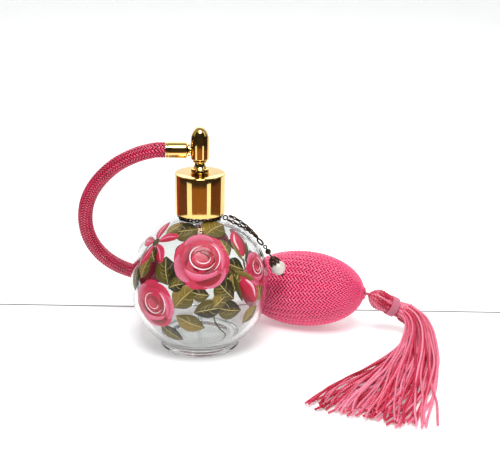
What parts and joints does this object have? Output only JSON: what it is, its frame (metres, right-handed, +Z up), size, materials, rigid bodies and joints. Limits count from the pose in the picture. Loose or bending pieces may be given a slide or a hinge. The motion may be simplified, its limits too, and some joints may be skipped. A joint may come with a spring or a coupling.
{
  "type": "perfume bottle",
  "caption": "Round glass perfume bottle painted with flowers, with a gold atomizer head, a braided hose, a woven squeeze bulb with a silky tassel, and a neck chain with a pearl charm.",
  "frame": {"origin": "centre of the underside of the foot, on the surface the bottle stands on", "axes": "+Z up along the bottle's axis, -X towards the hose where it leaves the head, +Y away from the viewer"},
  "size_m": [0.1609, 0.1331, 0.1001],
  "materials": {
    "clear_glass": "polished clear glass",
    "flower_paint": "hand-painted enamel flowers and leaves on the glass",
    "polished_gold": "polished, gold plated",
    "antique_bronze": "antiqued, dark recesses",
    "pearl_white": "pearlescent",
    "white_plastic": "moulded, satin",
    "clear_plastic": "natural translucent",
    "black_rubber": "matte",
    "spring_steel": "bright",
    "pink_braid": "glossy rayon braid, herringbone plait",
    "pink_satin_cord": "silky twisted rayon cord"
  },
  "bodies": {
    "bottle": {"glass_bottle": "clear_glass"},
    "necklace": {"neck_chain": "antique_bronze", "chain_tail_1": "antique_bronze", "chain_tail_2": "antique_bronze", "joining_ring": "antique_bronze", "clasp_link": "antique_bronze"},
    "charm": {"charm_pin": "antique_bronze", "bronze_bead": "antique_bronze", "bead_cap": "antique_bronze", "pearl": "pearl_white"},
    "fitment": {"neck_gasket": "black_rubber", "siphon_fitment": "white_plastic", "dip_tube": "clear_plastic"},
    "collar": {"collar_shell": "polished_gold", "collar_insert": "white_plastic"},
    "head": {"swivel_shank": "polished_gold", "retaining_clip": "spring_steel", "atomizer_head": "polished_gold", "nozzle_insert": "polished_gold", "air_arm": "polished_gold", "hose_ferrule": "polished_gold", "hose_tube": "black_rubber", "hose_sleeve": "pink_braid", "bulb_ferrule": "polished_gold", "outlet_valve_body": "spring_steel", "bulb_bladder": "black_rubber", "bulb_cover": "pink_braid", "inlet_valve_body": "spring_steel"},
    "outlet_valve": {"outlet_valve_ball": "spring_steel"},
    "inlet_valve": {"inlet_valve_ball": "spring_steel"},
    "tassel": {"tassel_tie": "pink_satin_cord", "tassel_head": "pink_satin_cord", "tassel_band": "pink_satin_cord", "tassel_skirt": "pink_satin_cord"}
  },
  "joints": [
    {"name": "head_lift", "type": "slide", "parent": "bottle", "child": "fitment", "axis": [0, 0, 1], "range_m": [0, 0.08]},
    {"name": "collar_turn", "type": "hinge", "parent": "fitment", "child": "collar", "pos_m": [0, 0, 0.07], "axis": [0, 0, 1], "range_deg": [0, 540]},
    {"name": "head_swivel", "type": "hinge", "parent": "fitment", "child": "head", "pos_m": [0, 0, 0.08], "axis": [0, 0, 1], "range_deg": [0, 240]},
    {"name": "outlet_valve_lift", "type": "slide", "parent": "head", "child": "outlet_valve", "axis": [-0.8915, 0.4445, -0.0872], "range_m": [0, 0.0008]},
    {"name": "inlet_valve_lift", "type": "slide", "parent": "head", "child": "inlet_valve", "axis": [-0.8915, 0.4445, -0.0872], "range_m": [0, 0.0008]},
    {"name": "tassel_swing", "type": "hinge", "parent": "head", "child": "tassel", "pos_m": [0.07602, 0.00855, 0.02019], "axis": [0, 0, 1], "range_deg": [-20, 25]},
    {"name": "necklace_turn", "type": "hinge", "parent": "bottle", "child": "necklace", "pos_m": [0, 0, 0.0608], "axis": [0, 0, 1], "range_deg": [-120, 0]},
    {"name": "charm_swing", "type": "hinge", "parent": "necklace", "child": "charm", "pos_m": [0.02894, 0.00253, 0.04493], "axis": [0.0872, -0.9962, 0], "range_deg": [0, 60]}
  ]
}
